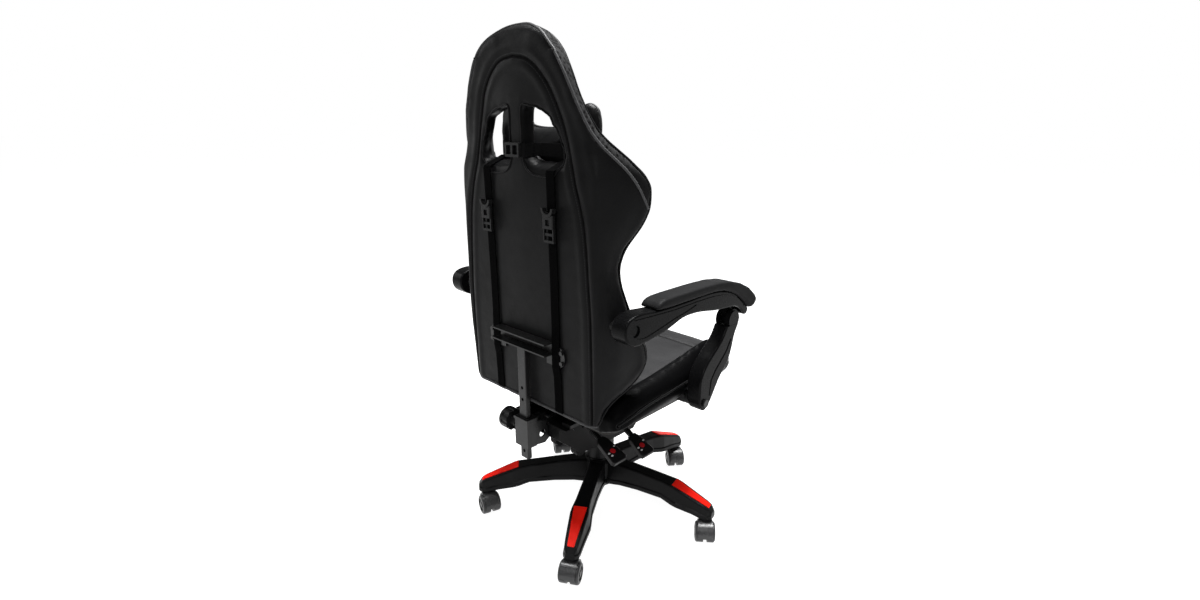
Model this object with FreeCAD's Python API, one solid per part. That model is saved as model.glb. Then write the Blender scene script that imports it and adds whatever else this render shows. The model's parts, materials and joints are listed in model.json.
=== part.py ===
import FreeCAD, Part
import math
import os

# Office gaming chair on a five-star castor base.
# Frame: origin on the floor under the swivel axis, +Z up, the sitter faces -Y,
# the sitter's left is +X.  All lengths in millimetres.
# Heights below are measured from a datum 30 mm under the floor; export() lowers
# every part by that amount, so the written files stand on z = 0.

os.makedirs("parts", exist_ok=True)
V = FreeCAD.Vector
X_AXIS, Y_AXIS, Z_AXIS = V(1, 0, 0), V(0, 1, 0), V(0, 0, 1)

# ------------------------------------------------------------- driving sizes
DATUM = 30.0                    # depth of the height datum under the floor
FIT = 0.05                      # radial clearance of every turning fit
STEM_CIRCLE = 295.0             # castor stems from the swivel axis
FIRST_ARM = 50.0                # direction of the first base arm, degrees
SHOULDER_Z = 87.0               # underside of the arm tips
CASTOR_LEANS = (163.0, 120.0, 129.0, 142.0, 148.0)   # trail direction of each castor
CASTOR_TRAIL = 14.0
WHEEL_R, WHEEL_W = 24.5, 19.0
WEB_T = 8.0                     # castor web between the two wheels
AXLE_R, STEM_R = 3.0, 5.5

HUB_TOP = 172.0
COLUMN_R, COLUMN_TOP = 25.0, 240.0
TUBE_R, TUBE_TOP = 14.0, 300.0
ROD_R = 5.0

SEAT_PLATE_Z = 346.0            # top of the mechanism
SEAT_UNDERSIDE = 366.0          # underside of the seat cushion
RECLINE = (160.0, 335.0)        # recline pivot (y, z)
ARM_REAR = (198.0, 628.0)       # armrest pivot on the backrest
ARM_FRONT = (-147.0, 572.0)     # armrest pivot on the upright
ARM_FOOT = (-43.0, 398.0)       # upright pivot on the seat bracket
ARM_OUT, ARM_IN = 287.0, 248.0  # outer and inner face of the armrest body
POST_Y, POST_W, POST_T = 243.0, 26.0, 12.0
STRAP_X, STRAP_W, STRAP_T = 100.5, 23.0, 1.6


# ------------------------------------------------------------------- helpers
def box(x0, x1, y0, y1, z0, z1):
    return Part.makeBox(x1 - x0, y1 - y0, z1 - z0, V(x0, y0, z0))


def rod(radius, start, end):
    start, end = V(*start), V(*end)
    return Part.makeCylinder(radius, start.distanceToPoint(end), start, end - start)


def ring(outer, inner, start, end):
    return rod(outer, start, end).cut(rod(inner, start, end))


def fuse(shapes):
    first = shapes[0]
    if len(shapes) == 1:
        return first
    return first.multiFuse(shapes[1:]).removeSplitter()


def side_prism(outline, x0, x1):
    """Outline given as (y, z) pairs, extruded from x0 to x1."""
    points = [V(x0, y, z) for y, z in outline]
    face = Part.Face(Part.makePolygon(points + points[:1]))
    return face.extrude(V(x1 - x0, 0, 0))


def curved_prism(outline, x0, x1, edge):
    """Closed smooth curve through (y, z) points, extruded along X with rounded rims."""
    curve = Part.BSplineCurve()
    curve.interpolate(Points=[V(x0, y, z) for y, z in outline], PeriodicFlag=True)
    start, step = curve.FirstParameter, (curve.LastParameter - curve.FirstParameter) / 8.0
    spans = [curve.toShape(start + i * step, start + (i + 1) * step) for i in range(8)]
    solid = Part.Face(Part.Wire(spans)).extrude(V(x1 - x0, 0, 0))
    if edge == 0:
        return solid
    rims = [e for e in solid.Edges if e.BoundBox.XLength < 1e-3]
    return solid.makeFillet(edge, rims)


def plan_prism(outline, z0, z1):
    """Outline given as (x, y) pairs, extruded from z0 to z1."""
    points = [V(x, y, z0) for x, y in outline]
    face = Part.Face(Part.makePolygon(points + points[:1]))
    return face.extrude(V(0, 0, z1 - z0))


def turned(profile, centre=(0, 0)):
    """Solid of revolution about Z from (radius, z) pairs."""
    points = [V(r, 0, z) for r, z in profile]
    face = Part.Face(Part.makePolygon(points + points[:1]))
    solid = face.revolve(V(0, 0, 0), Z_AXIS, 360)
    solid.translate(V(centre[0], centre[1], 0))
    return solid


def smooth(outline, steps=4, ratio=0.25):
    """Corner-cut an open or closed list of 2-D points into a softer polygon."""
    result = []
    count = len(outline)
    for i, point in enumerate(outline):
        before, after = outline[i - 1], outline[(i + 1) % count]
        a = [point[k] + ratio * (before[k] - point[k]) for k in (0, 1)]
        b = [point[k] + ratio * (after[k] - point[k]) for k in (0, 1)]
        for step in range(steps + 1):
            t = step / steps
            result.append(tuple(
                (1 - t) ** 2 * a[k] + 2 * t * (1 - t) * point[k] + t ** 2 * b[k]
                for k in (0, 1)))
    return result


def softened(solid, radius, keep):
    """Fillet the edges for which keep(edge) is true."""
    edges = [edge for edge in solid.Edges if keep(edge)]
    return solid.makeFillet(radius, edges)


def along_x(edge):
    ends = [vertex.Point for vertex in edge.Vertexes]
    if len(ends) < 2:
        return False
    span = ends[1] - ends[0]
    return abs(span.y) < 1e-6 and abs(span.z) < 1e-6


def mirrored(shape):
    return shape.mirror(V(0, 0, 0), X_AXIS)


def turn_z(shape, degrees, centre=(0, 0)):
    copy = shape.copy()
    copy.rotate(V(centre[0], centre[1], 0), Z_AXIS, degrees)
    return copy


def export(name, shapes):
    if not isinstance(shapes, (list, tuple)):
        shapes = [shapes]
    solids = []
    for shape in shapes:
        solids.extend(shape.Solids)
    result = solids[0] if len(solids) == 1 else Part.makeCompound(solids)
    result = result.copy()
    result.translate(V(0, 0, -DATUM))
    result.exportStep("parts/" + name + ".step")


def arm_directions():
    return [FIRST_ARM + 72.0 * k for k in range(5)]


# ----------------------------------------------------------------- star base
# Stations along one arm: radius, underside z, top z, half width low and high.
ARM_STATIONS = (
    (20.0, 104.0, 169.0, 25.0, 21.0),
    (70.0, 111.0, 168.0, 22.0, 18.0),
    (120.0, 113.0, 165.0, 21.0, 17.0),
    (185.0, 112.0, 159.0, 22.0, 18.0),
    (214.0, 104.0, 155.0, 25.5, 20.5),
    (226.0, 102.0, 150.5, 26.5, 21.5),
    (268.0, 95.0, 134.0, 22.5, 18.5),
    (296.0, 87.0, 123.0, 19.5, 16.0),
    (306.0, 87.0, 117.5, 18.0, 14.5),
    (315.0, 89.5, 107.0, 11.5, 9.5),
)


def arm_section(radius, low, high, wide, narrow):
    bevel = 3.0
    half = [(0.0, low), (wide - 2.0, low), (wide, low + 3.0), (wide, low + 11.0),
            (wide - 2.5, low + 14.0), (narrow + 0.5, high - bevel - 1.0),
            (narrow - 1.0, high - 1.0), (narrow - bevel - 1.0, high), (0.0, high)]
    outline = half + [(-w, z) for w, z in half[-2:0:-1]]
    points = [V(radius, w, z) for w, z in outline]
    return Part.makePolygon(points + points[:1])


def make_base():
    arm = Part.makeLoft([arm_section(*s) for s in ARM_STATIONS], True, True)
    pocket = Part.makeLoft(
        [arm_section(r, low - 1.0, high - 5.0, wide - 5.0, narrow - 4.0)
         for r, low, high, wide, narrow in ARM_STATIONS[1:7]], True, True)
    ribs = fuse([box(r, r + 3.0, -30, 30, 60, 200) for r in (110.0, 150.0, 190.0, 230.0)])
    pocket = pocket.cut(ribs)
    boss = rod(13.5, (STEM_CIRCLE, 0, SHOULDER_Z), (STEM_CIRCLE, 0, 112.0))
    arm = arm.cut(pocket).fuse(boss)
    slot = make_insert(0.1)
    socket = rod(STEM_R + FIT, (STEM_CIRCLE, 0, 80.0), (STEM_CIRCLE, 0, 110.5))
    arm = arm.cut(slot).cut(socket)
    hub = turned([(0, 98), (34, 98), (38, 101), (41, 130), (41, 164), (38, 170), (35, HUB_TOP),
                  (0, HUB_TOP)])
    arms = [turn_z(arm, angle) for angle in arm_directions()]
    body = hub.multiFuse(arms)
    bore = rod(COLUMN_R + 0.02, (0, 0, 60), (0, 0, 200))
    return body.cut(bore)


def make_insert(grow=0.0):
    """Wedge let into the sloping top of one arm, flush with its surface."""
    outline = [(208 - grow, 154.2), (214, 156.2), (226, 151.7), (268, 135.2), (296, 124.2),
               (306 + grow, 119.0), (306 + grow, 113.4 - grow), (226, 144.5 - grow),
               (208 - grow, 149.0 - grow)]
    points = [V(r, -40, z) for r, z in outline]
    face = Part.Face(Part.makePolygon(points + points[:1]))
    band = face.extrude(V(0, 80, 0))
    side = [(208 - grow, 14.8 + grow), (214, 15.6 + grow), (304, 8.0 + grow), (306 + grow, 6.8 + grow)]
    plan = plan_prism(side + [(r, -w) for r, w in reversed(side)], 100, 180)
    return band.common(plan)


export("star_base", make_base())
export("base_inserts", [turn_z(make_insert(), angle) for angle in arm_directions()])


# ------------------------------------------------------------------- castors
def make_castor(stem_x, stem_y, lean):
    """One twin-wheel castor: hood, steel pins and two wheels trailing the stem."""
    ax, az = CASTOR_TRAIL, DATUM + WHEEL_R
    half_web = WEB_T / 2.0
    room = WHEEL_R + 1.6
    stem_low = SHOULDER_Z - 9.5
    boss = turned([(0, 60), (15, 60), (16, 76), (15, SHOULDER_Z - 3), (13, SHOULDER_Z - 1.5),
                   (0, SHOULDER_Z - 1.5)])
    web = rod(room + 1.5, (ax, -half_web, az), (ax, half_web, az)).cut(castor_gap(ax, az))
    web = web.fuse(rod(14.0, (ax, -half_web, az), (ax, half_web, az)))
    fender = ring(room + 3.2, room, (ax, -17.5, az), (ax, 17.5, az)).cut(castor_gap(ax, az))
    hood = fuse([boss, web, fender])
    for s in (-1, 1):
        hood = hood.cut(rod(room, (ax, s * (half_web + 0.001), az), (ax, s * 40, az)))
    hood = hood.cut(rod(AXLE_R, (ax, -30, az), (ax, 30, az)))
    hood = hood.cut(rod(STEM_R, (0, 0, stem_low), (0, 0, SHOULDER_Z + 5)))
    hood = hood.fuse(ring(7.0, AXLE_R, (ax, -half_web - 0.4, az), (ax, half_web + 0.4, az)))
    stem = rod(STEM_R, (0, 0, stem_low), (0, 0, 110.0))
    collar = rod(8.5, (0, 0, SHOULDER_Z - 1.5), (0, 0, SHOULDER_Z - 0.5))
    axle = rod(AXLE_R, (ax, -half_web - WHEEL_W + 3.0, az), (ax, half_web + WHEEL_W - 3.0, az))
    pieces = [hood, Part.makeCompound([stem.fuse(collar), axle])]
    for s in (-1, 1):
        near, far = s * (half_web + 0.8), s * (half_web + 0.8 + WHEEL_W)
        wheel = rod(WHEEL_R, (ax, near, az), (ax, far, az))
        wheel = wheel.makeFillet(5.5, [max(wheel.Edges, key=lambda edge: s * edge.CenterOfMass.y)])
        dish = ring(WHEEL_R - 8.5, 7.0, (ax, far - s * 2.5, az), (ax, far + s * 5, az))
        wheel = wheel.cut(dish)
        wheel = wheel.cut(rod(AXLE_R + FIT, (ax, near - s * 4, az), (ax, far - s * 3.2, az)))
        pieces.append(wheel)
    placed = []
    for piece in pieces:
        piece = turn_z(piece, lean)
        piece.translate(V(stem_x, stem_y, 0))
        placed.append(piece)
    return placed


def castor_gap(ax, az):
    """Part of the fender ring left open: below the wheels and under the stem."""
    outline = [(ax, az), (ax + 60, az - 4), (ax + 60, az - 60), (ax - 60, az - 60), (ax - 60, az + 12)]
    points = [V(x, -40, z) for x, z in outline]
    face = Part.Face(Part.makePolygon(points + points[:1]))
    return face.extrude(V(0, 80, 0))


for index, (angle, lean) in enumerate(zip(arm_directions(), CASTOR_LEANS)):
    turn = math.radians(angle)
    stem_at = (STEM_CIRCLE * math.cos(turn), STEM_CIRCLE * math.sin(turn))
    hood, pins, wheel_a, wheel_b = make_castor(stem_at[0], stem_at[1], lean)
    tag = str(index + 1)
    export("caster_hood_" + tag, hood)
    export("caster_pins_" + tag, pins)
    export("wheel_a_" + tag, wheel_a)
    export("wheel_b_" + tag, wheel_b)


# ------------------------------------------------------------------ gas lift
column = turned([(ROD_R + 0.6, 101), (COLUMN_R - 2, 101), (COLUMN_R, 103), (COLUMN_R, COLUMN_TOP - 1),
                 (COLUMN_R - 1, COLUMN_TOP), (TUBE_R + 1.0, COLUMN_TOP),
                 (TUBE_R + 1.0, COLUMN_TOP - 2), (22.5, COLUMN_TOP - 2), (22.5, 105),
                 (ROD_R + 0.6, 105)])
export("gas_column", column)
export("guide_bush", ring(22.5, TUBE_R + FIT, (0, 0, 176), (0, 0, COLUMN_TOP - 2)))
piston = fuse([rod(ROD_R, (0, 0, 95), (0, 0, 232)), rod(11.9, (0, 0, 220), (0, 0, 232)),
               ring(11.0, ROD_R, (0, 0, 105.3), (0, 0, 107.5))])
export("piston_rod", piston)
export("cylinder_clip", fuse([ring(12.0, ROD_R, (0, 0, 99.0), (0, 0, 100.6)),
                              ring(7.5, ROD_R, (0, 0, 97.0), (0, 0, 99.0))]))
tube = turned([(ROD_R + 0.6, 110), (TUBE_R, 110), (TUBE_R, TUBE_TOP - 2), (TUBE_R - 2, TUBE_TOP),
               (0, TUBE_TOP), (0, TUBE_TOP - 6), (12, TUBE_TOP - 6), (12, 114), (ROD_R + 0.6, 114)])
export("pressure_tube", tube)
export("lower_dust_cover", turned([(26, HUB_TOP), (34.5, HUB_TOP), (34.5, 174), (30.3, 175),
                                   (30.3, 236), (27.5, 236), (27.5, 175), (26, 175)]))
export("middle_dust_cover", turned([(30.8, 177), (33.0, 177), (33.0, 240.5), (26.5, 240.5),
                                    (26.5, 239.0), (30.8, 239.0)]))
export("upper_dust_cover", turned([(33.5, 178), (36.0, 178), (36.8, 243), (34.5, 246.95),
                                   (16, 246.95), (16, 244), (33.5, 244)]))


# ----------------------------------------------------------------- mechanism
HOUSING = [(197, 342), (197, 311), (131, 255), (80, 247), (-60, 247), (-120, 300), (-120, 342)]
HOUSING_IN = [(194, 342), (194, 312.5), (129.7, 258), (80, 250), (-58.7, 250), (-117, 301.3),
              (-117, 342)]
LEVER_Y = {"recline": 118.0, "height": 48.0}
LEVER_HINGE = (-44.0, 331.0)    # x, z of the axis both levers turn on


def make_mechanism():
    shell = side_prism(HOUSING, -62, 62).cut(side_prism(HOUSING_IN, -59, 59))
    plate = box(-88, 88, -150, 200, 342, SEAT_PLATE_Z)
    socket = ring(20.0, TUBE_R + 0.02, (0, 0, 247), (0, 0, 302))
    floor_hole = rod(TUBE_R + 0.02, (0, 0, 240), (0, 0, 255))
    spring = rod(17.0, (-46, 112, 249), (46, 112, 249))
    cheeks = [box(x, x + 4, 138, 184, 312, 343) for x in (-32, 28)]
    body = shell.cut(floor_hole)
    body = fuse([body, plate, socket.cut(floor_hole), spring] + cheeks)
    body = body.cut(box(-26, 26, 92, 210, 225, 341)).cut(box(-26, 26, 138, 210, 338, 350))
    for y in LEVER_Y.values():
        body = body.cut(box(-64, -57, y - 6.5, y + 6.5, 317, 341))
        ears = [box(-52, -36, y + s * 9.5 - 1.5, y + s * 9.5 + 1.5, 325, 342.5) for s in (-1, 1)]
        pin = rod(3.0, (LEVER_HINGE[0], y - 12, LEVER_HINGE[1]), (LEVER_HINGE[0], y + 12, LEVER_HINGE[1]))
        body = fuse([body, pin] + ears)
    body = body.cut(rod(6.0, (-40, RECLINE[0], RECLINE[1]), (40, RECLINE[0], RECLINE[1])))
    for x in (-74, 74):
        for y in (-120, 170):
            body = body.cut(rod(4.0, (x, y, 330), (x, y, 350)))
    return body


export("mechanism", make_mechanism())
pin = rod(6.0, (-36, RECLINE[0], RECLINE[1]), (36, RECLINE[0], RECLINE[1]))
heads = [rod(9.0, (s * 32.2, RECLINE[0], RECLINE[1]), (s * 36.0, RECLINE[0], RECLINE[1]))
         for s in (-1, 1)]
export("recline_pin", fuse([pin] + heads))


def lever_pieces(y, bend, tip, wide):
    """Bent steel rod with a moulded grip: ribbed neck, then a flat paddle."""
    hx, hz = LEVER_HINGE
    eye = rod(6.5, (hx, y - 7.5, hz), (hx, y + 7.5, hz))
    steel = fuse([eye, rod(4.0, (hx, y, hz), (bend[0], y, bend[1])),
                  Part.makeSphere(4.0, V(bend[0], y, bend[1])),
                  rod(4.0, (bend[0], y, bend[1]),
                      (bend[0] + 0.8 * (tip[0] - bend[0]), y, bend[1] + 0.8 * (tip[1] - bend[1])))])
    steel = steel.cut(rod(3.0 + FIT, (hx, y - 9, hz), (hx, y + 9, hz)))
    length = math.hypot(tip[0] - bend[0], tip[1] - bend[1])
    slope = math.degrees(math.atan2(bend[1] - tip[1], bend[0] - tip[0]))
    neck = 30.0
    rings = [rod(6.5, (-2, 0, 0), (-neck - 4, 0, 0))]
    for k in range(6):
        rings.append(rod(8.2 - 0.2 * k, (-3 - 4.6 * k, 0, 0), (-5.6 - 4.6 * k, 0, 0)))
    plan = [(-neck, -9), (-neck - 12, -wide * 0.36), (-length + 4, -wide / 2),
            (-length - 2, -wide / 2 + 4), (-length - 2, wide / 2 - 4), (-length + 4, wide / 2),
            (-neck - 12, wide * 0.36), (-neck, 9)]
    paddle = plan_prism(plan, -6.0, 6.0)
    paddle = softened(paddle, 2.5, lambda edge: edge.BoundBox.ZLength < 0.01)
    grip = fuse(rings + [paddle])
    grip = grip.cut(rod(4.0, (6, 0, 0), (-0.8 * length, 0, 0)))
    grip.rotate(V(0, 0, 0), Y_AXIS, -slope)
    grip.translate(V(bend[0], y, bend[1]))
    return steel, grip


steel, grip = lever_pieces(LEVER_Y["recline"], (-86, 319), (-177, 273), 46)
export("recline_rod", steel)
export("recline_grip", grip)
steel, grip = lever_pieces(LEVER_Y["height"], (-122, 316), (-200, 271), 44)
export("height_rod", steel)
export("height_grip", grip)


# ---------------------------------------------------------------------- seat
# Sections of the seat from the rear edge to the front edge: y, underside,
# outer bulge (x, z), bolster crest (x, z), inner seam (x, z), centre z.
SEAT_SECTIONS = (
    (190, 374, (230, 402), (214, 422), (180, 430), 432),
    (172, 368, (238, 412), (216, 438), (182, 440), 442),
    (150, 366, (241, 420), (216, 452), (184, 447), 448),
    (100, 366, (243, 428), (213, 461), (185, 450), 452),
    (30, 366, (243, 434), (210, 470), (184, 453), 454),
    (-40, 366, (243, 440), (209, 482), (183, 455), 456),
    (-100, 366, (243, 446), (209, 497), (183, 457), 458),
    (-155, 366, (242, 446), (208, 504), (182, 459), 460),
    (-195, 366, (237, 440), (203, 496), (178, 460), 461),
    (-230, 368, (227, 432), (193, 474), (170, 459), 461),
    (-262, 374, (212, 424), (180, 450), (158, 450), 454),
    (-284, 384, (196, 414), (168, 432), (146, 436), 440),
    (-296, 400, (178, 408), (156, 416), (138, 418), 421),
)


def seat_section(y, low, outer, crest, seam, middle):
    side = outer[0] - 27.0
    half = [(0, low), (side - 24.0, low), (side, low + 0.28 * (outer[1] - low)),
            (outer[0] - 5.0, low + 0.6 * (outer[1] - low)), outer,
            (0.35 * outer[0] + 0.65 * crest[0] + 4.0, 0.35 * outer[1] + 0.65 * crest[1]),
            crest, (0.5 * (crest[0] + seam[0]), crest[1] - 0.25 * (crest[1] - seam[1])),
            seam, (0.55 * seam[0], middle - 1.0), (0, middle)]
    outline = half + [(-x, z) for x, z in half[-2:0:-1]]
    points = [V(x, y, z) for x, z in outline]
    return Part.makePolygon(points + points[:1])


seat = Part.makeLoft([seat_section(*s) for s in SEAT_SECTIONS], True, True)
board = plan_prism(smooth([(-176, -285), (176, -285), (184, 165), (-184, 165)], 4, 0.08), 354, 366)
export("seat_board", board)
rails = [box(x - 14, x + 14, -230, 186, SEAT_PLATE_Z, 354) for x in (-74, 74)]
export("seat_rails", rails)
bolts = []
for x in (-74, 74):
    for y in (-120, 170):
        head = rod(7.0, (x, y, 336.5), (x, y, 342.0))
        bolts.append(head.fuse(rod(3.9, (x, y, 340), (x, y, SEAT_PLATE_Z))))
export("seat_bolts", bolts)


# ------------------------------------------------------------------ armrests
def arm_bracket():
    """Right-hand steel lug from the seat board out to the upright's foot."""
    y, z = ARM_FOOT
    bar = box(-240, -160, y - 13, y + 13, z - 9, z + 9)
    leg = box(-174, -160, y - 13, y + 13, SEAT_UNDERSIDE, z + 9)
    return fuse([bar, leg])


def foot_pin():
    y, z = ARM_FOOT
    return fuse([rod(5.0, (-289.5, y, z), (-228.0, y, z)), rod(9.0, (-292.0, y, z), (-287.6, y, z)),
                 rod(14.0, (-250.6, y, z), (-240.0, y, z))])


bracket, foot = arm_bracket(), foot_pin()
seat = seat.cut(bracket).cut(mirrored(bracket)).cut(foot).cut(mirrored(foot))
export("seat_cushion", seat)
bracket = bracket.cut(foot)
export("arm_brackets", [bracket, mirrored(bracket), foot, mirrored(foot)])

UPRIGHT = [(-147, 590), (-126, 572), (-108, 543), (-74, 512), (-38, 480), (-25, 455), (-23, 425),
           (-25, 398), (-43, 379), (-62, 391), (-101, 444), (-131, 476), (-145, 505), (-156, 540),
           (-168, 572)]
# Outline of the armrest body seen from the side: over the top, then back below.
ARM_OUTLINE = [(229, 634), (220, 652), (198, 659.5), (150, 657.5), (90, 655), (0, 656),
               (-60, 655.5), (-110, 647), (-152, 629), (-185, 603), (-204, 583), (-197, 575),
               (-172, 591), (-130, 605.5), (-69, 611), (-20, 619), (20, 622.5), (50, 621),
               (85, 612), (130, 602.5), (170, 598.5), (200, 598), (220, 609)]


# Shallow sunk panel in the outer face, round at the rear and pointed in front.
ARM_PANEL = [(215, 636), (208, 643), (189, 641.5), (144, 637.5), (96, 636.5), (47, 639), (5, 640.5),
             (29, 634), (79, 626), (112, 619), (143, 613), (170, 609), (196, 613), (211, 624)]


def arm_body():
    """Right-hand armrest body, open below at the front for the fork."""
    body = curved_prism(ARM_OUTLINE, -ARM_OUT, -ARM_IN, 4.0)
    channel = side_prism([(-183, 540), (-181, 590), (-166, 608), (-143, 622), (-118, 633), (-90, 641),
                          (-45, 645), (-45, 540)], -283.5, -251.5)
    body = body.cut(channel)
    y, z = ARM_FRONT
    tongue = side_prism([(y - 13, z), (y - 15, 622), (y + 17, 636), (y + 14, z)], -271.5, -263.5)
    tongue = tongue.fuse(rod(16.0, (-271.5, y, z), (-263.5, y, z)))
    tongue = tongue.cut(rod(11.2, (-280, y, z), (-250, y, z)))
    groove = side_prism([(205, 651), (150, 648), (80, 645), (0, 646), (-60, 645), (-96, 641),
                         (-128, 632), (-160, 616), (-184, 597), (-187, 599.5), (-162, 619),
                         (-129, 635), (-97, 644), (-60, 648), (0, 649), (80, 648), (150, 651),
                         (205, 654)], -ARM_OUT - 1, -ARM_OUT + 1.6)
    panel = curved_prism(ARM_PANEL, -ARM_OUT - 1, -ARM_OUT + 1.5, 0)
    recess = rod(12.0, (-ARM_OUT - 1, ARM_REAR[0], ARM_REAR[1]), (-ARM_OUT + 5.0, ARM_REAR[0], ARM_REAR[1]))
    body = fuse([body, tongue]).cut(groove).cut(panel).cut(recess)
    y, z = ARM_REAR
    return body.cut(rod(6.0 + FIT, (-ARM_IN + 1, y, z), (-268.0, y, z)))


def arm_pad():
    """Upholstered pad that follows the arched top of the body."""
    low = [(140, 657.4), (90, 655.2), (0, 656.2), (-60, 655.7), (-95, 651.2), (-125, 642.2),
           (-152, 629.2), (-178, 611.2), (-199, 592.2), (-205, 590)]
    high = [(-215, 588), (-225, 592), (-233, 600), (-234, 608), (-224, 620), (-199, 639),
            (-165, 655), (-120, 668), (-70, 674.5), (0, 676), (80, 676), (116, 675), (130, 671),
            (138, 664)]
    pad = side_prism(low + high, -292.0, -243.5)
    return pad.makeChamfer(3.5, [e for e in pad.Edges if not along_x(e)])


def upright():
    y, z = ARM_FRONT
    body = curved_prism(UPRIGHT, -ARM_OUT, -251.2, 4.0)
    top = rod(24.0, (-282.8, y, z), (-252.2, y, z))
    around = box(-300, -240, y - 60, y + 60, 560, 640)
    body = body.cut(around).fuse(top)
    cap = rod(20.5, (-286.6, y, z), (-282, y, z))
    slot = rod(27.0, (-275.5, y, z), (-259.5, y, z))
    slot = slot.fuse(box(-275.5, -259.5, y - 27, y + 27, z, z + 40))
    pin = rod(4.0, (-283, y, z), (-252.2, y, z))
    groove = side_prism([(-135, 530), (-118, 505), (-78, 470), (-62, 448), (-58, 412), (-62, 410),
                         (-67, 446), (-83, 466), (-123, 501), (-140, 527)], -ARM_OUT - 1,
                        -ARM_OUT + 1.6)
    body = fuse([body, cap]).cut(slot)
    body = fuse([body, pin]).cut(groove)
    foot_bore = rod(5.0 + FIT, (-300, ARM_FOOT[0], ARM_FOOT[1]), (-240, ARM_FOOT[0], ARM_FOOT[1]))
    return body.cut(foot_bore)


for side, place in (("right", lambda shape: shape), ("left", mirrored)):
    export("arm_body_" + side, place(arm_body()))
    export("arm_pad_" + side, place(arm_pad()))
    export("arm_upright_" + side, place(upright()))


# --------------------------------------------------- back bracket, post, bar
def make_bracket():
    sleeve = box(-22, 22, 229, 256, 298, 368)
    rim = box(-23.5, 23.5, 227.5, 257.5, 362, 368)
    sleeve = fuse([sleeve, rim])
    sleeve = sleeve.cut(box(-13.3, 13.3, POST_Y - 6.3, POST_Y + 6.3, 290, 380))
    cheek = side_prism([(232, 300), (232, 360), (204, 352), (176, 353), (160, 351), (147, 345),
                        (144, 335), (147, 325), (160, 319), (180, 312), (205, 296)], -22, -18)
    cheek = cheek.cut(rod(6.0 + FIT, (-30, RECLINE[0], RECLINE[1]), (0, RECLINE[0], RECLINE[1])))
    cheek = cheek.cut(rod(8.5, (-30, 212, 322), (0, 212, 322)))
    cheek = cheek.cut(rod(4.0, (-30, 196, 340), (0, 196, 340)))
    cheek = cheek.cut(rod(4.0, (-30, 188, 325), (0, 188, 325)))
    body = fuse([sleeve, cheek, mirrored(cheek)])
    return body.cut(rod(4.0 + FIT, (12, POST_Y, 346), (26, POST_Y, 346)))


export("back_bracket", make_bracket())
knob = rod(25.0, (40, POST_Y, 346), (66, POST_Y, 346))
for k in range(9):
    turn = 2 * math.pi * k / 9
    notch_at = (POST_Y + 28.0 * math.cos(turn), 346 + 28.0 * math.sin(turn))
    knob = knob.cut(rod(5.5, (38, notch_at[0], notch_at[1]), (60, notch_at[0], notch_at[1])))
knob = fuse([knob, rod(13.0, (26, POST_Y, 346), (44, POST_Y, 346)),
             rod(4.0, (13.4, POST_Y, 346), (44, POST_Y, 346))])
export("clamp_knob", knob)

post = box(-POST_W / 2, POST_W / 2, POST_Y - POST_T / 2, POST_Y + POST_T / 2, 266, 538)
post = softened(post, 2.0, lambda e: e.BoundBox.ZLength > 100)
post = post.cut(box(-POST_W / 2 + 2, POST_W / 2 - 2, POST_Y - 4, POST_Y + 4, 260, 540))
for z in (440, 412, 284):
    post = post.cut(rod(4.0, (0, POST_Y - 10, z), (0, POST_Y + 10, z)))
export("post", post)


def make_crossbar():
    rear = 232.0
    channel = box(-88, 88, rear, 258, 538, 566).cut(box(-90, 90, rear + 3, 260, 541, 563))
    plates = []
    for s in (-1, 1):
        plates.append(rod(25.0, (s * 101, rear, 538), (s * 101, rear + 3.6, 538)))
        plates.append(box(min(s * 70, s * 101), max(s * 70, s * 101), rear, rear + 3.6, 516, 562))
    return fuse([channel] + plates)


export("crossbar", make_crossbar())
fixings = []
for s in (-1, 1):
    for z in (526.5, 549.5):
        fixings.append(rod(4.6, (s * 117.5, 235.6, z), (s * 117.5, 239.2, z)))
    y, z = ARM_REAR
    stub = rod(6.0, (s * 214, y, z), (s * 266, y, z)).fuse(rod(11.0, (s * 226, y, z), (s * 246.9, y, z)))
    fixings.append(stub)
export("back_fixings", fixings)


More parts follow.
